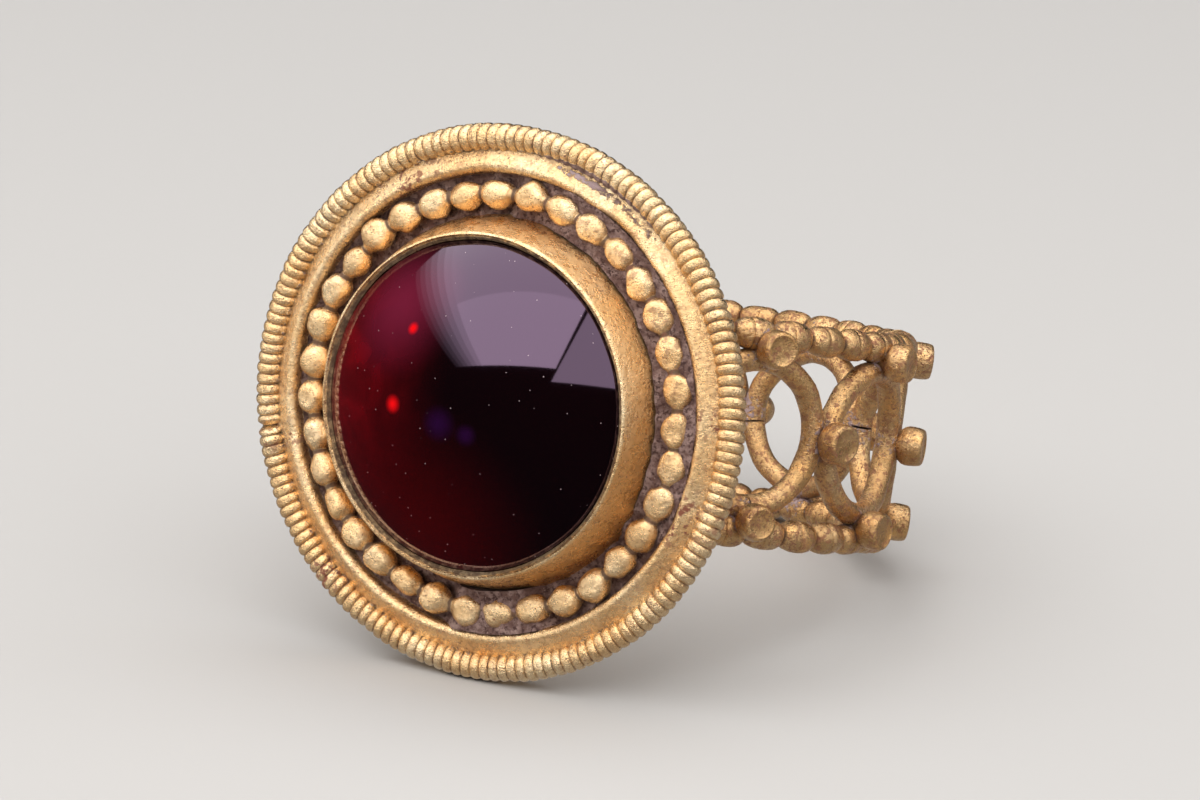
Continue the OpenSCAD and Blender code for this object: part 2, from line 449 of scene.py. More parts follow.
def gold(name, specks, haze, mottled, sheen, groove_reach=0.35, groove_low=0.4, groove_high=0.9,
         base=GOLD, pale=1.0):
    """Worn gold: sheen is how rough its brightest metal is, groove_reach how wide a groove gets painted shade."""
    finish = Finish(name)
    shader = finish.shader
    tone = finish.blend(finish.ramp(finish.cloud(1.8, 3), 0.38, 0.62, 0.0, pale), base, PALE_GOLD)
    # Painted bounce light: warmer, brighter gold on the collar's lower side
    tone = finish.blend(finish.painted("painted_bounce_light"), tone, RED_GOLD_AND_BOUNCE_LIGHT)
    warm = finish.sums("MULTIPLY", finish.ramp(finish.cloud(0.9, 3), 0.45, 0.7), haze)
    tone = finish.blend(warm, tone, RED_GOLD_AND_BOUNCE_LIGHT)
    mottle = finish.ramp(finish.cloud(0.16, 5, 0.7), 0.46, 0.66)
    tone = finish.blend(finish.sums("MULTIPLY", mottle, mottled), tone, DULL_GOLD)
    crowd = finish.ramp(finish.cloud(1.4, 2), 0.35, 0.7, 0.0, 0.09)
    speck = finish.ramp(finish.sums("ADD", finish.cloud(0.10, 2, 0.6), crowd), 0.72 - 0.05 * specks,
                        0.77 - 0.05 * specks)
    tone = finish.blend(finish.sums("MULTIPLY", speck, 0.85), tone, PATINA)
    uneven = finish.ramp(finish.cloud(0.3, 4, 0.65), 0.3, 0.7, -0.18, 0.18)
    # Painted shade: recesses found by Ambient Occlusion and grooves painted on the points turn nearly black and
    # less metallic
    recess_shade = finish.ramp(finish.sums("ADD", finish.recess(groove_reach), uneven), groove_low, groove_high)
    painted_groove_shade = finish.ramp(finish.sums("ADD", finish.painted("groove"), uneven), 0.4, 0.95)
    recess_shade = finish.sums("MAXIMUM", recess_shade, painted_groove_shade)
    tone = finish.blend(finish.sums("MULTIPLY", recess_shade, 0.94), tone, GROOVE_SHADE)
    blots = finish.ramp(finish.cloud(0.28, 3, 0.65), 0.5, 0.62)
    stain = finish.sums("MULTIPLY", finish.painted("stain"), blots)
    tone = finish.blend(stain, tone, PATINA)
    earth = finish.ramp(finish.sums("ADD", finish.painted("soil"), finish.cloud(0.22, 4, 0.65)), 0.88, 1.02)
    crumbs = finish.blend(finish.ramp(finish.cloud(0.3, 4), 0.42, 0.66), SOIL, PALE_SOIL)
    crumbs = finish.blend(finish.painted("mauve"), crumbs, MAUVE_SOIL)
    tone = finish.blend(earth, tone, crumbs)
    finish.link(tone, shader.inputs["Base Color"])
    matter = finish.sums("MAXIMUM", earth, finish.sums("MULTIPLY", stain, 0.7))
    dull = finish.sums("MAXIMUM", finish.sums("MULTIPLY", finish.sums("MAXIMUM", speck, recess_shade), 0.75), matter)
    finish.link(finish.ramp(dull, 0.0, 1.0, 1.0, 0.0), shader.inputs["Metallic"])
    matt = finish.ramp(finish.cloud(0.35, 4, 0.7), 0.32, 0.68, sheen, sheen + 0.2)
    finish.link(finish.sums("MAXIMUM", matt, finish.sums("MULTIPLY", dull, 0.85)), shader.inputs["Roughness"])
    along = finish.cloud(0.20, 3, 0.6, place=finish.stretched((1.0, 7.0, 2.0)))
    across = finish.cloud(0.16, 3, 0.6, place=finish.stretched((6.0, 1.3, 2.0)))
    grain = finish.sums("ADD", finish.cloud(0.16, 3, 0.6), finish.sums("MULTIPLY", along, 0.7))
    grain = finish.sums("ADD", grain, finish.sums("MULTIPLY", across, 0.5))
    grain = finish.sums("ADD", grain, finish.sums("MULTIPLY", earth, 1.2))
    grain = finish.sums("SUBTRACT", grain, finish.sums("MULTIPLY", speck, 0.6))
    finish.bump(grain, 0.035)
    return finish.material


bezel_gold = gold("bezel_gold", specks=0.3, haze=0.35, mottled=0.35, sheen=0.18)
ridge_gold = gold("ridge_gold", specks=0.4, haze=0.2, mottled=0.5, sheen=0.13, groove_reach=0.2, groove_low=0.5,
                  groove_high=1.0)
# The hoop's finish has more specks and haze, on a base darkened as painted shade
hoop_gold = gold("hoop_gold", specks=1.4, haze=0.7, mottled=0.65, sheen=0.2, groove_reach=0.6, base=SHADED_HOOP_GOLD,
                 pale=0.3)
print("gold finishes:", [finish.name for finish in (bezel_gold, ridge_gold, hoop_gold)])

# %% [markdown]
# ## Finish: soil
# Purple-brown soil is packed in the channel round the beads. It is matt, crumbly and speckled with pale grit.

# %% Mix the soil
DAMP_SOIL = (0.07, 0.034, 0.03)
GRIT = (0.5, 0.36, 0.3)


def soil_finish():
    finish = Finish("packed_soil")
    tone = finish.blend(finish.ramp(finish.cloud(0.45, 4, 0.65), 0.38, 0.66), SOIL, PALE_SOIL)
    tone = finish.blend(finish.ramp(finish.cloud(0.16, 3, 0.7), 0.5, 0.62), tone, DAMP_SOIL)
    tone = finish.blend(finish.ramp(finish.cloud(0.07, 2), 0.68, 0.74), tone, GRIT)
    finish.link(tone, finish.shader.inputs["Base Color"])
    finish.shader.inputs["Roughness"].default_value = 0.85
    finish.shader.inputs["Specular IOR Level"].default_value = 0.25
    finish.bump(finish.cloud(0.12, 5, 0.75), 0.12)
    return finish.material


packed_soil = soil_finish()

# %% [markdown]
# ## Finish: garnet
# The stone is so deep a red that it looks black where light leaves it downwards and glows where light is
# thrown back from the left. That glow is painted light, laid in the colour by place, under a clear polished
# face that takes the reflections. Two painted red sparks, a faint painted violet glint and fine dust follow.

# %% Mix the garnet
GARNET_DARK = (0.003, 0.0004, 0.0006)
# Painted light: the glow, low glow and veil colours stand for light thrown back inside the stone
GARNET_GLOW = (0.21, 0.0015, 0.005)
GARNET_LOW_GLOW = (0.060, 0.0006, 0.0008)
GARNET_VEIL_GLOW = (0.17, 0.012, 0.036)
# Painted highlights: red sparks of light inside the stone, and faint violet glints near its top
GARNET_SPARK = (1.0, 0.004, 0.006)
GARNET_VIOLET_GLINT = (0.018, 0.002, 0.028)
DUST = (0.75, 0.62, 0.62)
# Where each glow has its middle on the bench, and how far it reaches
GLOW_AT, GLOW_REACH = Vector((-5.6, 0.8, 2.2)), 6.6
LOW_GLOW_AT, LOW_GLOW_REACH = Vector((-1.6, -4.6, 2.8)), 6.0
VEIL_AT, VEIL_REACH = Vector((-2.6, 3.6, 3.6)), 3.2
# Painted glints: the middle, reach and colour of each violet glint and red spark
PAINTED_GLINTS = (
    (Vector((0.2, -0.45, 4.65)), 0.8, GARNET_VIOLET_GLINT),
    (Vector((1.3, -0.7, 4.5)), 0.5, GARNET_VIOLET_GLINT),
    (Vector((-1.9, -0.05, 4.4)), 0.42, GARNET_SPARK),
    (Vector((-1.6, 2.75, 4.0)), 0.3, GARNET_SPARK),
)


def garnet_finish():
    finish = Finish("garnet")
    shader = finish.shader

    def closeness(spot, reach):
        gap = finish.node("ShaderNodeVectorMath")
        gap.operation = "DISTANCE"
        finish.link(finish.bench, gap.inputs[0])
        gap.inputs[1].default_value = spot
        return finish.ramp(gap.outputs["Value"], 0.0, reach, 1.0, 0.0)

    veil = finish.ramp(finish.cloud(2.0, 3, 0.6, 0.4), 0.3, 0.75)
    # Painted light: the glows are laid in the colour by place, over the stone's own dark red
    tone = finish.blend(closeness(LOW_GLOW_AT, LOW_GLOW_REACH), GARNET_DARK, GARNET_LOW_GLOW)
    glow = finish.sums("MULTIPLY", closeness(GLOW_AT, GLOW_REACH), finish.ramp(veil, 0, 1, 0.5, 1.0))
    tone = finish.blend(glow, tone, GARNET_GLOW)
    tone = finish.blend(finish.sums("MULTIPLY", closeness(VEIL_AT, VEIL_REACH), 0.8), tone, GARNET_VEIL_GLOW)
    # Painted glints and red sparks
    for spot, reach, colour in PAINTED_GLINTS:
        tone = finish.blend(closeness(spot, reach), tone, colour)
    dust = finish.node("ShaderNodeTexVoronoi")
    dust.inputs["Scale"].default_value = 3.2
    finish.link(finish.bench, dust.inputs["Vector"])
    fleck = finish.ramp(dust.outputs["Distance"], 0.04, 0.075, 1.0, 0.0)
    kept = finish.ramp(dust.outputs["Color"], 0.5, 0.52)
    fleck = finish.sums("MULTIPLY", finish.sums("MULTIPLY", fleck, kept), 0.8)
    tone = finish.blend(fleck, tone, DUST)
    finish.link(tone, shader.inputs["Base Color"])
    finish.link(finish.sums("MAXIMUM", finish.sums("MULTIPLY", fleck, 0.6), 0.05), shader.inputs["Roughness"])
    shader.inputs["IOR"].default_value = 1.76
    shader.inputs["Specular Tint"].default_value = (0.96, 0.66, 1.0, 1.0)
    return finish.material


garnet = garnet_finish()

# %% [markdown]
# ## The stone
# A cabochon is a slice of a sphere on sides that widen below the collar's rim, so that the collar holds it. A
# sphere is cut by the girdle's plane, and its cut edge is drawn down and out into the sides.

# %% Cut the cabochon
def make_stone():
    bpy.ops.mesh.primitive_uv_sphere_add(segments=160, ring_count=120, radius=dome_r, location=(0, 0, dome_z))
    stone = bpy.context.object
    stone.name = "garnet_cabochon"
    settle(stone, stone.matrix_world.copy())
    foot_widening = COLLAR_SPREAD * (1 - STONE_GAP / COLLAR_H)
    with opened(stone):
        bpy.ops.mesh.bisect(plane_co=(0, 0, girdle_z), plane_no=(0, 0, 1), use_fill=True, clear_inner=True)
        bpy.ops.mesh.select_mode(type="FACE")
        bpy.ops.mesh.select_all(action="DESELECT")
    for face in stone.data.polygons:
        face.select = face.normal.z < -0.9
    take_up(stone)
    bpy.ops.object.mode_set(mode="EDIT")
    bpy.ops.mesh.extrude_region_move(TRANSFORM_OT_translate={"value": (0, 0, STONE_GAP - girdle_z)})
    grow = (STONE_D / 2 + foot_widening) / (STONE_D / 2)
    bpy.ops.transform.resize(value=(grow, grow, 1), center_override=(0, 0, STONE_GAP))
    bpy.ops.mesh.select_mode(type="VERT")
    bpy.ops.object.mode_set(mode="OBJECT")
    close_seams(stone, FINE_SEAM)
    return stone


stone = make_stone()
dress(stone, garnet, "stone")

# %% [markdown]
# ## The bezel's body
# Base plate, collar and plain wire are soldered into one body of gold, so one outline is turned for all three:
# it runs from the middle of the back round the edge, over the plain wire, down through the channel, up the
# collar's slope, over its thin rim and down inside to the floor under the stone.

# %% Turn the bezel's body
# Where the border wire's two ends meet, on the bezel's clock
NICK_AT = 256.5


def bezel_outline():
    """(radius, height) from the middle of the back, round the edge and down to the floor under the stone."""
    crest = BORDER_LIFT + 0.44
    return [
        (0, -PLATE_T),
        (BORDER_R - 0.6, -PLATE_T),
        (BORDER_R - 0.15, -PLATE_T + 0.02),
        (BORDER_R - 0.03, -PLATE_T + 0.12),
        (BORDER_R, -PLATE_T + 0.3),
        (BORDER_R, BORDER_LIFT),
        (STRIP_R + 0.56, BORDER_LIFT + 0.13),
        (STRIP_R + 0.46, BORDER_LIFT + 0.2),
        (STRIP_R + 0.34, BORDER_LIFT + 0.27),
        (STRIP_R + 0.2, BORDER_LIFT + 0.34),
        (STRIP_R + 0.08, crest - 0.03),
        (STRIP_R, crest),
        (STRIP_R - 0.1, crest - 0.025),
        (STRIP_R - 0.19, crest - 0.09),
        (STRIP_R - 0.25, crest - 0.2),
        (STRIP_R - 0.28, crest - 0.4),
        (STRIP_R - 0.3, 0.06),
        (STRIP_R - 0.36, 0),
        (FOOT_R + 0.06, 0),
        (FOOT_R, 0.04),
        (FOOT_R - 0.05, 0.12),
        (RIM_R + 0.42, 0.7),
        (RIM_R + 0.21, 1.35),
        (RIM_R + 0.05, 1.85),
        (RIM_R + 0.005, COLLAR_H - 0.1),
        (RIM_R - 0.02, COLLAR_H - 0.04),
        (RIM_R - 0.05, COLLAR_H - 0.01),
        (RIM_R - 0.10, COLLAR_H),
        (RIM_R - 0.14, COLLAR_H - 0.05),
        (RIM_R - 0.17, COLLAR_H - 0.09),
        (RIM_R - 0.2, COLLAR_H - 0.06),
        (RIM_R - 0.24, COLLAR_H - 0.12),
        (RIM_R - COLLAR_WALL, girdle_z - 0.05),
        (RIM_R - COLLAR_WALL + COLLAR_SPREAD, 0.02),
        (0, 0.02),
    ]


def dent_strip(piece):
    """Pushes the plain wire in and down where the photographed one is bent."""
    reach = 0.5
    for v in piece.data.vertices:
        r = math.hypot(v.co.x, v.co.y)
        if v.co.z < 0.12 or abs(r - STRIP_R) > reach:
            continue
        at = clock(v.co.x, v.co.y)
        wave = 0.10 * near_angle(at, 22, 18) - 0.07 * near_angle(at, 34, 14) + 0.06 * near_angle(at, 44, 12)
        wave += 0.07 * near_angle(at, 104, 10) - 0.06 * near_angle(at, 113, 12) - 0.05 * near_angle(at, 352, 16)
        share = 1 - abs(r - STRIP_R) / reach
        v.co.x -= wave * share * v.co.x / r
        v.co.y -= wave * share * v.co.y / r
        v.co.z -= 0.5 * abs(wave) * share + 0.06 * share * near_angle(at, NICK_AT - 2.5, 5)


def soil_on_body(co):
    r, at = math.hypot(co.x, co.y), clock(co.x, co.y)
    outside = max(0.0, 1 - abs(r - STRIP_R - 0.4) / 0.28)
    patch = 0.75 * near_angle(at, 20, 36) + 0.5 * near_angle(at, 38, 26) + 0.3 * near_angle(at, 110, 22)
    floor = 0.75 if FOOT_R - 0.04 < r < STRIP_R - 0.2 and co.z < 0.2 else 0.0
    return min(1.0, outside * patch + floor) if co.z > -0.05 else 0.0


def stain_on_body(co):
    r, at = math.hypot(co.x, co.y), clock(co.x, co.y)
    if r < FOOT_R or co.z < 0:
        return 0.0
    return min(1.0, near_angle(at, 110, 20) + near_angle(at, 86, 8) + 0.7 * near_angle(at, 254, 9)
               + 0.6 * near_angle(at, 330, 30) + 0.35)


# Painted bounce light: the collar's outer slope is warmer towards the bezel's lower side and towards its foot
def bounce_light_on_body(co):
    r, at = math.hypot(co.x, co.y), clock(co.x, co.y)
    if not RIM_R - 0.02 < r < FOOT_R + 0.05 or co.z < 0.02:
        return 0.0
    lower = 0.5 + 0.5 * math.cos(math.radians(at - 170))
    return (0.25 + 0.6 * lower) * min(1.0, (COLLAR_H - co.z) / 0.9)


def painted_rim_shade(co):
    """Painted shade: the speckled dark line in the gap between the stone and the collar's rim."""
    r = math.hypot(co.x, co.y)
    return 0.8 if RIM_R - COLLAR_WALL - 0.05 < r < RIM_R - 0.15 and co.z > girdle_z - 0.3 else 0.0


body = turned("bezel_body", bezel_outline(), steps=288)
dented(body, depth=0.03, size=1.6, seed=1)
dent_strip(body)
paint(body, "soil", soil_on_body)
paint(body, "mauve", lambda co: near_angle(clock(co.x, co.y), 14, 26))
paint(body, "stain", stain_on_body)
# Painted bounce light on the collar's lower side
paint(body, "painted_bounce_light", bounce_light_on_body)
# Painted shade in the gap between the stone and the collar's rim
paint(body, "groove", painted_rim_shade)
dress(body, bezel_gold, "setting")

# %% [markdown]
# ## The beaded wire in the channel
# Beaded wire is rolled between grooved plates until it swells into beads joined by thin necks. One bead is
# turned with half a neck on each side and laid out in a row. Each bead then gets its own size and its own worn,
# flattened top, because these are the first thing a finger rubs.

# %% Roll the channel's beads
BEAD_NECK_D = 0.52
BEAD_SWELL = 1.06
BEADS_TURN = -1


def bead_outline(bead_d, neck_d, pitch, oval=1.2, half_arc=62, steps=12):
    """(radius, place along) of one bead: an oval between the middles of its two necks."""
    arc = [math.radians(-half_arc + 2 * half_arc * k / steps) for k in range(steps + 1)]
    belly = [(bead_d / 2 * math.cos(a), bead_d / 2 * oval * math.sin(a)) for a in arc]
    return [(neck_d / 2, -pitch / 2)] + belly + [(neck_d / 2, pitch / 2)]


def make_channel_beads():
    pitch = 2 * math.pi * BEAD_RING_R / CHANNEL_BEADS
    outline = bead_outline(CHANNEL_BEAD_D * BEAD_SWELL, BEAD_NECK_D, pitch)
    wire = turned("channel_beads", outline, steps=28, line=ROUND_X)
    # Painted shade in the necks between the beads
    paint(wire, "groove", lambda co: max(0.0, (abs(co.x) / pitch - 0.36) / 0.12))
    laid_out(wire, CHANNEL_BEADS, pitch)
    chance = random.Random(35)
    cast = [(chance.uniform(0.88, 1.08), chance.uniform(-0.09, 0.09), chance.uniform(-0.08, 0.08),
             chance.uniform(-0.06, 0.06)) for _ in range(CHANNEL_BEADS)]
    for v in wire.data.vertices:
        which, middle = link_at(v.co.x, CHANNEL_BEADS, pitch)
        swell = max(0.0, 1 - (2 * (v.co.x - middle) / pitch) ** 2)
        size, aside, along, wear = cast[which]
        # The row's middle is bent to the bezel's foot and its +X end runs up the bezel's right side
        rubbed = near_angle(180 - 360 * middle / (CHANNEL_BEADS * pitch), 75, 130)
        resized(v, size, swell)
        v.co.y += aside * swell
        v.co.x += along * swell
        rubbed_flat(v, top=0.47 - 0.17 * rubbed + wear, left=0.3)
    bent_round(wire, BEAD_RING_R)
    settle(wire, Matrix.Translation((0, 0, CHANNEL_BEAD_D / 2 - SOLDER_BITE / 2))
           @ Matrix.Rotation(math.radians(BEADS_TURN), 4, "Z"))
    dented(wire, depth=0.08, size=0.5, seed=2)
    return wire


def soil_on_beads(co):
    at = clock(co.x, co.y)
    amount = 0.55 if at < 128 or 158 < at < 192 else 0.4
    return max(0.0, amount * (1 - (co.z - 0.35) / 0.35)) if co.z < 0.7 else 0.0


beads = make_channel_beads()
paint(beads, "soil", soil_on_beads)
paint(beads, "stain", lambda co: 0.35 * near_angle(clock(co.x, co.y), 60, 120) + 0.2)
dress(beads, bezel_gold, "setting")

# %% [markdown]
# ## The ridged border wire
# The border looks like a coil but is one thick wire rolled under a fine screw, so that it is all ridges. One
# ridge is turned and laid out along the wire. Each copy gets its own size, worn top and place and is slanted a
# little, and the row is bent round the plate's edge. The wire's ends meet on the left, with a nick and some solder.

# %% Roll the border
RIDGE_SLANT = 0.16
# How far a ridge has dropped from its crest, as a share of its depth, at each share of its length
RIDGE_SHAPE = ((0.95, -0.5), (0.62, -0.42), (0.27, -0.31), (0.07, -0.17), (0.0, 0.0),
               (0.07, 0.17), (0.27, 0.31), (0.62, 0.42), (0.95, 0.5))


def make_border():
    pitch = 2 * math.pi * BORDER_R / BORDER_RIDGES
    crest = BORDER_WIRE_D / 2
    outline = [(crest - RIDGE_DEPTH * drop, pitch * share) for drop, share in RIDGE_SHAPE]
    wire = turned("ridged_border", outline, steps=18, line=ROUND_X)
    # Painted shade in the grooves between the ridges
    paint(wire, "groove", lambda co: max(0.0, (abs(co.x) / pitch - 0.36) / 0.16))
    laid_out(wire, BORDER_RIDGES, pitch)
    chance = random.Random(157)
    cast = [(chance.uniform(0.43, 0.52), chance.uniform(0.975, 1.0), chance.uniform(-0.05, 0.05))
            for _ in range(BORDER_RIDGES)]
    for v in wire.data.vertices:
        which, middle = link_at(v.co.x, BORDER_RIDGES, pitch)
        top, size, along = cast[which]
        swell = max(0.0, 1 - abs(v.co.x - middle) / (pitch / 2))
        resized(v, size, swell)
        v.co.x += along * swell
        rubbed_flat(v, top, left=0.35)
        v.co.x += RIDGE_SLANT * v.co.z
    bent_round(wire, BORDER_R)
    settle(wire, Matrix.Translation((0, 0, BORDER_LIFT)))
    dented(wire, depth=0.035, size=1.1, seed=3)
    for v in wire.data.vertices:
        at, r = clock(v.co.x, v.co.y), math.hypot(v.co.x, v.co.y)
        if v.co.z > BORDER_LIFT:
            inwards = min(1.0, max(0.0, (BORDER_R + 0.3 - r) / 0.4))
            v.co.z += 0.13 * near_angle(at, NICK_AT - 3.5, 5) * inwards
            v.co.z -= 0.22 * near_angle(at, NICK_AT, 2.4)
    return wire


def stain_on_border(co):
    at = clock(co.x, co.y)
    return min(1.0, near_angle(at, 220, 14) + 0.8 * near_angle(at, 254, 9) + 0.5 * near_angle(at, 108, 18)
               + 0.25)


def soil_on_border(co):
    r, at = math.hypot(co.x, co.y), clock(co.x, co.y)
    inner = max(0.0, min(1.0, (BORDER_R - 0.12 - r) / 0.3))
    return inner * (0.6 * near_angle(at, 24, 50) + 0.35)


border = make_border()
paint(border, "stain", stain_on_border)
paint(border, "soil", soil_on_border)
dress(border, ridge_gold, "setting")

# %% [markdown]
# ## Soil in the channel
# The soil is real stuff with a height of its own: it buries the beads' flanks on the right and below and lies
# low elsewhere. A flat ring is turned and its top is pushed up by place, with lumps, as one would sculpt it.

# %% Pack the soil
# Banks of soil round the channel: the middle and width of each in degrees, and its height
SOIL_BANKS = ((62, 150, 0.62), (20, 60, 0.35), (172, 40, 0.72), (115, 30, 0.25))


def soil_level(at):
    return max(height * min(1.0, 2.2 * near_angle(at, middle, width)) for middle, width, height in SOIL_BANKS)


def make_soil():
    inner, outer, rings = FOOT_R - 0.12, STRIP_R - 0.22, 14
    top = [(inner + (outer - inner) * k / rings, 0.02) for k in range(rings + 1)]
    outline = [(inner, -0.1)] + top + [(outer, -0.1), (inner, -0.1)]
    soil = turned("channel_soil", outline, steps=480)
    for v in soil.data.vertices:
        if v.co.z < -0.05:
            continue
        r, at = math.hypot(v.co.x, v.co.y), clock(v.co.x, v.co.y)
        lump = noise.noise(v.co / 0.55) * 0.16 + noise.noise(v.co / 0.2 + Vector((3, 5, 7))) * 0.07
        wall = min(1.0, min(r - inner, outer - r) / 0.25)
        low = 0.13 + 0.18 * noise.noise(v.co / 1.3 + Vector((9, 1, 4)))
        v.co.z = max(-0.04, max(soil_level(at), low) + lump + 0.06 * (1 - wall))
    return soil


soil = make_soil()
dress(soil, packed_soil, "setting")

# %% [markdown]
# ## The hoop's edge wires
# The hoop is edged by two thick beaded wires. Each of their beads is a pair of discs: a broad one and a thin
# one with a groove between, the mark of the tool that rolled them. The wire is bent into the hoop's circle, and
# its top is cut off flat where it meets the back of the plate. Dirt clings where wires meet under the pellets.

# %% Roll and bend the edge wires
EDGE_NECK_D = 0.5
# The places along an edge bead, in shares of its length, where its outline is set, and the place of its groove
EDGE_BEAD_STEPS = (-0.5, -0.47, -0.42, -0.35, -0.26, -0.15, -0.03, 0.05, 0.09, 0.13, 0.2, 0.28, 0.35, 0.42,
                   0.47, 0.5)
EDGE_GROOVE_AT = 0.09
EDGE_GROOVE_DEPTH = 0.05


def edge_bead_outline(pitch):
    neck, crest = EDGE_NECK_D / 2, EDGE_BEAD_D / 2
    outline = []
    for share in EDGE_BEAD_STEPS:
        swell = (1 - abs(2 * share) ** 2.5) ** 0.62
        groove = EDGE_GROOVE_DEPTH if share == EDGE_GROOVE_AT else 0
        outline.append((neck + (crest - neck) * swell - groove, share * pitch))
    return outline


def cut_at_plate(piece, bite=0.05):
    """Cuts a hoop piece off a little inside the plate that it is soldered to, on the bench."""
    with opened(piece):
        bpy.ops.mesh.bisect(plane_co=(0, 0, bite - PLATE_T), plane_no=(0, 0, 1), use_fill=True, clear_outer=True)
    close_seams(piece, 2 * FINE_SEAM)


def make_edge_wire(name, across, seed):
    pitch = 2 * math.pi * HOOP_R / EDGE_BEADS
    wire = turned(name, edge_bead_outline(pitch), steps=20, line=ROUND_X)
    # Painted shade in the necks between the beads and in each bead's tool groove
    paint(wire, "groove", lambda co: max(0.0, (abs(co.x) / pitch - 0.41) / 0.09,
                                         0.5 - abs(co.x / pitch - EDGE_GROOVE_AT) * 16))
    laid_out(wire, EDGE_BEADS, pitch)
    chance = random.Random(seed)
    cast = [chance.uniform(0.92, 1.02) for _ in range(EDGE_BEADS)]
    for v in wire.data.vertices:
        which, middle = link_at(v.co.x, EDGE_BEADS, pitch)
        resized(v, cast[which], max(0.0, 1 - abs(v.co.x - middle) / (pitch / 2)))
    with opened(wire):
        bpy.ops.transform.translate(value=(0, 0, across))
    bent_round(wire, HOOP_R)
    settle(wire, BENT_UP)
    dented(wire, depth=0.05, size=0.7, seed=seed)
    cut_at_plate(wire)
    return wire


# %% Find the joints, and paint the hoop's wear
# Each pellet's turn round the hoop and its place across it
PELLET_SPOTS = [((k + 0.5) * CIRCLE_STEP, row * PELLET_Y) for k in range(-4, 4) for row in (-1, 1)]
PELLET_SPOTS += [(k * CIRCLE_STEP, 0) for k in range(-3, 4)]
HOOP_JOINTS = [BENT_UP @ Matrix.Rotation(turn, 4, "Z") @ Vector((0, -HOOP_R, across))
               for turn, across in PELLET_SPOTS]
HOOP_STAIN = 0.7
HOOP_MAUVE = 0.6


def hoop_soil(co):
    return 0.62 * max(0.0, 1 - min((co - joint).length for joint in HOOP_JOINTS) / 1.3) ** 0.5


def dress_wires(piece):
    """Paints the wear that the hoop's wires share and gives them their finish."""
    paint(piece, "stain", lambda co: HOOP_STAIN)
    paint(piece, "soil", hoop_soil)
    paint(piece, "mauve", lambda co: HOOP_MAUVE)
    dress(piece, hoop_gold, "hoop")


for name, across, seed in (("edge_wire_low", EDGE_Y, 5), ("edge_wire_high", -EDGE_Y, 6)):
    dress_wires(make_edge_wire(name, across, seed))

# %% [markdown]
# ## The wire circles
# Eight circles of plain round wire stand side by side between the edge wires. Each is a round section swept
# almost all the way round, with its two ends left a hair apart, as a ring of wire closes in a butt joint. They
# are laid out flat and bent to the hoop together, as the real openwork was.

# %% Bend the circles
# Each circle's place along the hoop, in circles from its back, and the angle at which its ends meet
CIRCLES = ((-3.5, 200), (-2.5, 75), (-1.5, 185), (-0.5, 10), (0.5, 170), (1.5, 183), (2.5, 4), (3.5, 92))
CIRCLE_GAP = 0.06
CIRCLE_SWELL = 1.05


def wire_circle(place, joint_at):
    bpy.ops.mesh.primitive_circle_add(vertices=18, radius=CIRCLE_WIRE_D / 2 * CIRCLE_SWELL,
                                      location=(CIRCLE_R, 0, 0), rotation=(math.radians(90), 0, 0))
    ring = bpy.context.object
    settle(ring, ring.matrix_world.copy())
    with opened(ring):
        bpy.ops.mesh.spin(steps=56, angle=2 * math.pi - CIRCLE_GAP / CIRCLE_R, center=(0, 0, 0), axis=(0, 0, 1))
    close_seams(ring, FINE_SEAM)
    with opened(ring):
        bpy.ops.mesh.fill_holes(sides=0)
        bpy.ops.mesh.normals_make_consistent(inside=False)
    bend_shape = 1.0 + 0.02 * math.sin(place * 5)
    settle(ring, Matrix.Translation((place * CIRCLE_STEP * HOOP_R, 0, 0))
           @ Matrix.Rotation(math.radians(90), 4, "X") @ Matrix.Diagonal((bend_shape, 1.0, 1.0, 1.0))
           @ Matrix.Rotation(math.radians(joint_at), 4, "Z"))
    return ring


circles = joined("wire_circles", [wire_circle(place, joint_at) for place, joint_at in CIRCLES])
bent_round(circles, HOOP_R)
settle(circles, BENT_UP)
dented(circles, depth=0.06, size=0.9, seed=8)
cut_at_plate(circles)
dress_wires(circles)

# %% [markdown]
# ## The pellets
# A pellet of gold hides each joint: one where neighbouring circles touch, and one over each meeting of a circle
# and an edge wire. They stand proud, and wear has rubbed their heads to flat, slightly hollow faces. One is
# turned, then copied to each joint with its own height and lean.

# %% Set the pellets
def pellet_outline():
    """(radius, height) from the foot over the rounded shoulder and the thin rim to the hollow face."""
    r, top = PELLET_D / 2, PELLET_H
    flank = [(0, 0), (0.56 * r, 0.02), (0.6 * r, 0.3), (0.76 * r, 0.5), (0.91 * r, 0.66), (0.96 * r, 0.82)]
    shoulder = [(0.96 * r, 1.0), (0.94 * r, 1.18), (0.91 * r, top - 0.13), (0.87 * r, top - 0.05)]
    face = [(0.8 * r, top - 0.01), (0.72 * r, top), (0.66 * r, top - 0.035), (0.3 * r, top - 0.05),
            (0, top - 0.055)]
    return flank + shoulder + face


def make_pellets():
    first = turned("pellets", pellet_outline(), steps=28)
    chance = random.Random(21)
    copies = []
    for turn, across in PELLET_SPOTS:
        pellet = twin(first)
        lean = Matrix.Rotation(math.radians(chance.uniform(-7, 7)), 4, "Y")
        size = chance.uniform(0.94, 1.06)
        settle(pellet, Matrix.Rotation(turn, 4, "Z") @ Matrix.Translation((0, -HOOP_R, across))
               @ Matrix.Rotation(math.radians(90), 4, "X") @ lean
               @ Matrix.Diagonal((size, size * chance.uniform(0.92, 1.02), chance.uniform(0.94, 1.0), 1)))
        copies.append(pellet)
    bpy.data.objects.remove(first)
    return joined("pellets", copies)


pellets = make_pellets()
settle(pellets, BENT_UP)
dented(pellets, depth=0.035, size=0.8, seed=9)
cut_at_plate(pellets)
paint(pellets, "stain", lambda co: HOOP_STAIN)
dress(pellets, hoop_gold, "hoop")

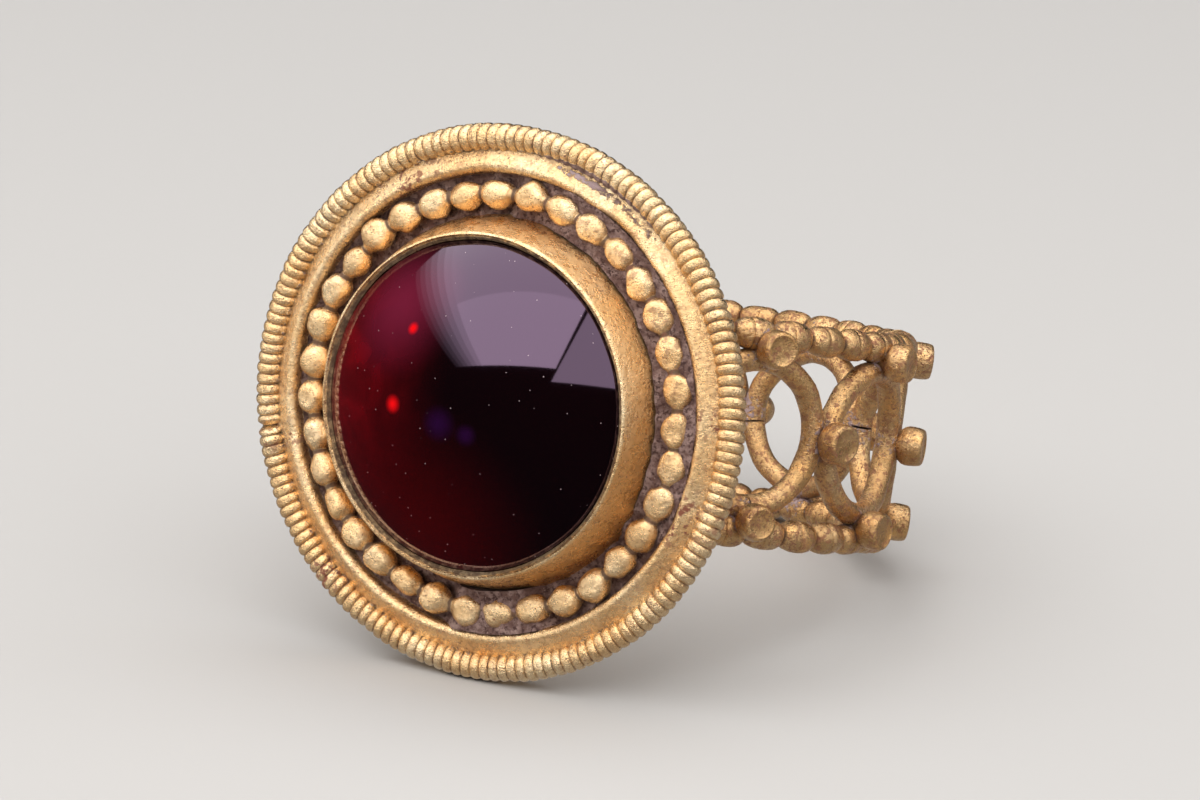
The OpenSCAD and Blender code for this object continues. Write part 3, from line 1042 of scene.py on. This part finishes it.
# %% [markdown]
# ## Floor
# The ring lies on a plain pale floor. The floor is left out of mirror reflections, as a black cloth under the
# camera would do for a photographer, because a pale glare would hide how dark the stone is.

# %% Lay the floor
FLOOR_GREY = (0.44, 0.43, 0.42, 1)
bpy.ops.object.select_all(action="DESELECT")
bpy.ops.mesh.primitive_plane_add(size=4.0)
floor = bpy.context.object
floor.name = "floor"
floor_finish = bpy.data.materials.new("pale_floor")
floor_finish.use_nodes = True
floor_shader = floor_finish.node_tree.nodes["Principled BSDF"]
floor_shader.inputs["Base Color"].default_value = FLOOR_GREY
floor_shader.inputs["Roughness"].default_value = 0.9
floor.data.materials.append(floor_finish)
floor.visible_glossy = False
print("floor laid")

# %% [markdown]
# ## Light
# Cloths of soft light hang level over the ring. The stone mirrors the two in the middle as one bright window: its
# lower edge is sharp, a dark slit parts it from the right-hand cloth, and on the left six narrow strips let it
# fade. The left-hand cloth shines on all but the stone. Two weaker panels are for the gold alone: one in front,
# and one just above the floor that gives back what the metal would have gathered from the floor's reflection.

# %% Hang the lights
TENT_H = 0.4
TENT_TURN = math.radians(20)
CLOTH_WHITE = (1.0, 0.985, 0.97)
FRONT_WHITE = (1.0, 0.97, 0.92)
FLOOR_WHITE = (1.0, 0.95, 0.9)
WORLD_BLUE = (0.9, 0.93, 1.0, 1)
# The bright window's left, right, lower, middle and upper edges, in tent heights
WINDOW_LEFT, WINDOW_RIGHT = -0.8, 0.44
WINDOW_LOW, WINDOW_MIDDLE, WINDOW_HIGH = -1.5, -0.3, 0.7
# How bright each of the strips is that fade the window's left edge
FADING = (2.4, 1.8, 1.25, 0.8, 0.45, 0.2)
STRIP_W = 0.1


def soft_panel(name, place, aim, size_x, size_y, radiance, colour, roll=0.0):
    """Adds a rectangle of light whose face is as bright as the radiance says, whatever its size."""
    bpy.ops.object.light_add(type="AREA", location=place)
    light = bpy.context.object
    light.name = name
    light.data.shape = "RECTANGLE"
    light.data.size = size_x
    light.data.size_y = size_y
    light.data.energy = math.pi * size_x * size_y * radiance
    light.data.color = colour
    facing = (Vector(aim) - Vector(place)).to_track_quat("-Z", "Y")
    light.rotation_euler = (facing.to_matrix() @ Matrix.Rotation(roll, 3, "Z")).to_euler()
    return light


def tent_cloth(name, left, right, near, far, radiance):
    """A level panel of the tent; its sides are in tent heights, in the tent's turned frame."""
    middle = Vector(((left + right) / 2, (near + far) / 2, 0)) * TENT_H
    middle.rotate(Matrix.Rotation(TENT_TURN, 3, "Z"))
    place = Vector((middle.x, middle.y, TENT_H))
    return soft_panel(name, place, place - Vector((0, 0, 1)), (right - left) * TENT_H, (far - near) * TENT_H,
                      radiance, CLOTH_WHITE, TENT_TURN)


gold_alone = bpy.data.collections.new("gold_pieces")
for name in ("bezel_body", "channel_beads", "ridged_border", "channel_soil", "edge_wire_low", "edge_wire_high",
             "wire_circles", "pellets"):
    gold_alone.objects.link(bpy.data.objects[name])
around_stone = bpy.data.collections.new("all_but_the_stone")
for piece in (*gold_alone.objects, floor):
    around_stone.objects.link(piece)

tent_cloth("bright_panel", WINDOW_LEFT, WINDOW_RIGHT, WINDOW_LOW, WINDOW_MIDDLE, 3.2)
tent_cloth("upper_panel", WINDOW_LEFT, WINDOW_RIGHT, WINDOW_MIDDLE, WINDOW_HIGH, 2.6)
for k, radiance in enumerate(FADING):
    inner = WINDOW_LEFT - STRIP_W * k
    tent_cloth(f"fading_edge_{k}", inner - STRIP_W, inner, WINDOW_LOW, WINDOW_HIGH, radiance)
tent_cloth("tent_right", 0.48, 2.6, -2.0, WINDOW_HIGH, 2.0)
left = tent_cloth("tent_left", -4.6, -1.4, WINDOW_LOW, WINDOW_HIGH, 1.8)
left.light_linking.receiver_collection = around_stone
front = soft_panel("front_panel", (-0.34, -0.5, 0.2), (0, 0, 0.01), 0.5, 0.36, 1.9, FRONT_WHITE)
glow = soft_panel("floor_glow", (0, 0, 0.0001), (0, 0, 1), 0.8, 0.8, 0.36, FLOOR_WHITE)
for panel in (front, glow):
    panel.light_linking.receiver_collection = gold_alone
world = bpy.data.worlds.new("studio")
bpy.context.scene.world = world
world.use_nodes = True
background = world.node_tree.nodes["Background"]
background.inputs["Color"].default_value = WORLD_BLUE
background.inputs["Strength"].default_value = 0.02
bpy.context.scene.view_settings.view_transform = "Standard"

# %% [markdown]
# ## Camera
# The camera's place was found from the outlines of the stone, the collar, the border and the hoop, in the bench's
# own frame, so it is laid down with the ring. A long lens keeps the bezel's circles nearly free of perspective.

# %% Set up the camera
CAMERA_AT = Vector((80.6, 21.8, 143.8))
CAMERA_AIM = Vector((3.37, 0.51, -1.57))
LENS = 135.0
SENSOR_W = 36.0
bpy.ops.object.camera_add(location=LAID @ CAMERA_AT)
camera = bpy.context.object
camera.data.lens = LENS
camera.data.sensor_width = SENSOR_W
camera.data.clip_start = 0.01
camera.rotation_euler = (LAID @ CAMERA_AIM - LAID @ CAMERA_AT).to_track_quat("-Z", "Y").to_euler()
bpy.context.scene.camera = camera
print("camera at", [round(v, 4) for v in camera.location])
